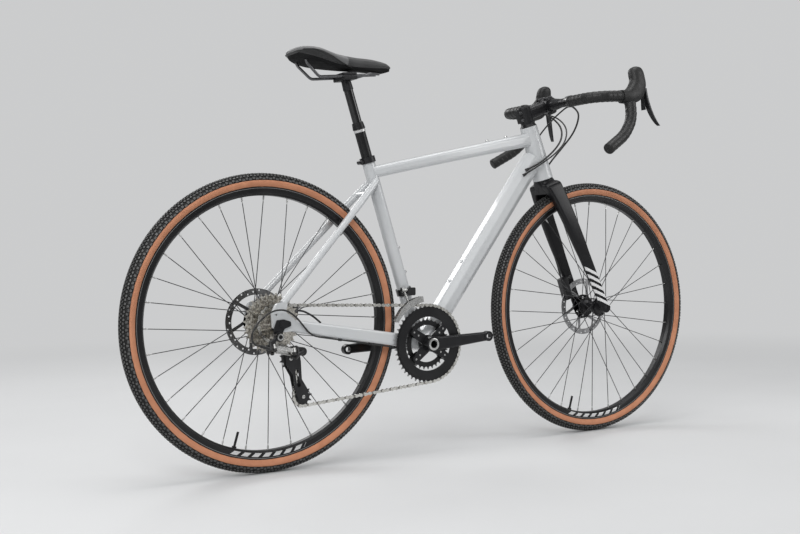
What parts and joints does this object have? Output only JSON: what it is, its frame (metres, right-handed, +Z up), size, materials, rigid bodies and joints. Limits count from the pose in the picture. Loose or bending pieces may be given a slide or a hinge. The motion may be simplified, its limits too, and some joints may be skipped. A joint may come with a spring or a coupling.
{
  "type": "gravel bike",
  "caption": "Drop-bar gravel bike with disc brakes, double chainrings, a derailleur chain drive and a dropper seat post; wheels, cranks, steering, levers and shifting all move.",
  "frame": {"origin": "on the ground, midway between the two axles, in the bike's middle plane", "axes": "+X forward, +Y to the rider's left, +Z up"},
  "size_m": [1.7189, 0.524, 1.0082],
  "materials": {
    "frame_paint": "gloss pale grey paint",
    "fork_paint": "gloss black paint",
    "tyre": "matt black tread, tan side walls",
    "rim_black": "satin black anodised",
    "spoke_dark": "dark spokes, silver nipples",
    "black_alloy": "satin black anodised",
    "lever_alloy": "satin black paint",
    "bright_steel": "bright steel",
    "cage_dark": "dark grey anodised",
    "pulley_resin": "matt black",
    "grip_black": "matt black",
    "tape_black": "matt black wrap",
    "saddle_black": "matt black cover",
    "shell_black": "matt black",
    "cable_black": "semi-gloss black"
  },
  "bodies": {
    "frame": {"main_frame": "frame_paint", "rear_stays": "frame_paint", "derailleur_hanger": "black_alloy", "seat_clamp": "black_alloy", "dropper_outer": "black_alloy", "headset_bearings": "bright_steel", "bottom_bracket": "black_alloy", "rear_axle": "black_alloy", "rd_body": "black_alloy", "fd_body": "black_alloy", "rear_caliper": "black_alloy", "frame_cables": "cable_black", "frame_bolts": "bright_steel", "cable_ports": "shell_black", "chain": "bright_steel"},
    "steering": {"fork": "fork_paint", "front_axle": "black_alloy", "headset_spacers": "black_alloy", "stem": "black_alloy", "stem_faceplate": "black_alloy", "stem_bolts": "bright_steel", "handlebar": "black_alloy", "bar_tape": "tape_black", "lever_hoods": "grip_black", "front_caliper": "black_alloy", "front_brake_hose": "cable_black", "bar_cables": "cable_black"},
    "front_wheel": {"front_tyre": "tyre", "front_rim": "rim_black", "front_spokes": "spoke_dark", "front_hub": "black_alloy", "front_rotor": "bright_steel"},
    "rear_wheel": {"rear_tyre": "tyre", "rear_rim": "rim_black", "rear_spokes": "spoke_dark", "rear_hub": "black_alloy", "rear_rotor": "bright_steel"},
    "freewheel": {"cassette": "bright_steel"},
    "cranks": {"crank_right": "black_alloy", "crank_left": "black_alloy", "chainring_outer": "black_alloy", "chainring_inner": "black_alloy", "chainring_bolts": "bright_steel"},
    "outer_link": {"rd_outer_link": "bright_steel"},
    "inner_link": {"rd_inner_link": "bright_steel"},
    "knuckle": {"rd_knuckle": "black_alloy"},
    "cage": {"rd_cage": "cage_dark"},
    "guide_wheel": {"guide_pulley": "pulley_resin"},
    "tension_wheel": {"tension_pulley": "pulley_resin"},
    "front_cage": {"fd_cage": "bright_steel"},
    "seat_post": {"dropper_stanchion": "black_alloy", "saddle_clamp": "black_alloy", "saddle_rails": "bright_steel", "saddle_shell": "shell_black", "saddle_cover": "saddle_black"},
    "pivot_block_right": {"lever_block_right": "black_alloy"},
    "blade_right": {"brake_lever_right": "lever_alloy"},
    "paddle_right": {"shift_paddle_right": "lever_alloy"},
    "pivot_block_left": {"lever_block_left": "black_alloy"},
    "blade_left": {"brake_lever_left": "lever_alloy"},
    "paddle_left": {"shift_paddle_left": "lever_alloy"}
  },
  "joints": [
    {"name": "steering", "type": "hinge", "parent": "frame", "child": "steering", "pos_m": [0.31161, 0, 0.78269], "axis": [-0.3256, 0, 0.9455], "range_deg": [-60, 60], "deforming": ["bar_cables"]},
    {"name": "front_wheel_spin", "type": "hinge", "parent": "steering", "child": "front_wheel", "pos_m": [0.5075, 0, 0.352], "axis": [0, 1, 0], "continuous": true},
    {"name": "rear_wheel_spin", "type": "hinge", "parent": "frame", "child": "rear_wheel", "pos_m": [-0.5075, 0, 0.352], "axis": [0, 1, 0], "continuous": true},
    {"name": "crank_spin", "type": "hinge", "parent": "frame", "child": "cranks", "pos_m": [-0.08324, 0, 0.282], "axis": [0, 1, 0], "continuous": true, "deforming": ["chain"]},
    {"name": "cassette_spin", "type": "hinge", "parent": "frame", "child": "freewheel", "pos_m": [-0.5075, 0, 0.352], "axis": [0, 1, 0], "continuous": true},
    {"name": "rd_shift", "type": "hinge", "parent": "frame", "child": "outer_link", "pos_m": [-0.532, -0.096, 0.302], "axis": [0.1704, 0.6091, 0.7746], "range_deg": [-27, 23], "deforming": ["chain"]},
    {"name": "rd_inner_link_turn", "type": "hinge", "parent": "frame", "child": "inner_link", "pos_m": [-0.53383, -0.0849, 0.29367], "axis": [0.1704, 0.6091, 0.7746], "range_deg": [-27, 23]},
    {"name": "rd_knuckle_turn", "type": "hinge", "parent": "outer_link", "child": "knuckle", "pos_m": [-0.482, -0.096, 0.291], "axis": [0.1704, 0.6091, 0.7746], "range_deg": [-23, 27]},
    {"name": "rd_cage_turn", "type": "hinge", "parent": "knuckle", "child": "cage", "pos_m": [-0.462, -0.07, 0.288], "axis": [0, 1, 0], "range_deg": [-28, 3], "stiffness_Nm_per_rad": 1.5, "deforming": ["chain"]},
    {"name": "guide_pulley_spin", "type": "hinge", "parent": "cage", "child": "guide_wheel", "pos_m": [-0.4719, -0.0475, 0.26876], "axis": [0, 1, 0], "continuous": true},
    {"name": "tension_pulley_spin", "type": "hinge", "parent": "cage", "child": "tension_wheel", "pos_m": [-0.44046, -0.0475, 0.17772], "axis": [0, 1, 0], "continuous": true},
    {"name": "fd_swing", "type": "hinge", "parent": "frame", "child": "front_cage", "pos_m": [-0.14188, -0.031, 0.41893], "axis": [1, 0, 0], "range_deg": [0, 10], "deforming": ["chain"]},
    {"name": "seat_drop", "type": "slide", "parent": "frame", "child": "seat_post", "axis": [-0.2924, 0, 0.9563], "range_m": [-0.075, 0]},
    {"name": "brake_pull_right", "type": "hinge", "parent": "steering", "child": "pivot_block_right", "pos_m": [0.506, -0.2, 0.93919], "axis": [0, 1, 0], "range_deg": [0, 22], "stiffness_Nm_per_rad": 0.6},
    {"name": "blade_swing_right", "type": "hinge", "parent": "pivot_block_right", "child": "blade_right", "pos_m": [0.506, -0.2, 0.93919], "axis": [1, 0, 0], "range_deg": [0, 14], "stiffness_Nm_per_rad": 0.4},
    {"name": "paddle_swing_right", "type": "hinge", "parent": "blade_right", "child": "paddle_right", "pos_m": [0.506, -0.2, 0.93919], "axis": [1, 0, 0], "range_deg": [0, 12], "stiffness_Nm_per_rad": 0.2},
    {"name": "brake_pull_left", "type": "hinge", "parent": "steering", "child": "pivot_block_left", "pos_m": [0.506, 0.2, 0.93919], "axis": [0, 1, 0], "range_deg": [0, 22], "stiffness_Nm_per_rad": 0.6},
    {"name": "blade_swing_left", "type": "hinge", "parent": "pivot_block_left", "child": "blade_left", "pos_m": [0.506, 0.2, 0.93919], "axis": [-1, 0, 0], "range_deg": [0, 14], "stiffness_Nm_per_rad": 0.4},
    {"name": "paddle_swing_left", "type": "hinge", "parent": "blade_left", "child": "paddle_left", "pos_m": [0.506, 0.2, 0.93919], "axis": [-1, 0, 0], "range_deg": [0, 12], "stiffness_Nm_per_rad": 0.2}
  ],
  "couplings": [
    {"joint": "cassette_spin", "follows": "crank_spin", "ratio": 2.2857},
    {"joint": "guide_pulley_spin", "follows": "crank_spin", "ratio": -4.3636},
    {"joint": "tension_pulley_spin", "follows": "crank_spin", "ratio": 4.3636},
    {"joint": "rd_inner_link_turn", "follows": "rd_shift", "ratio": 1},
    {"joint": "rd_knuckle_turn", "follows": "rd_shift", "ratio": -1}
  ]
}
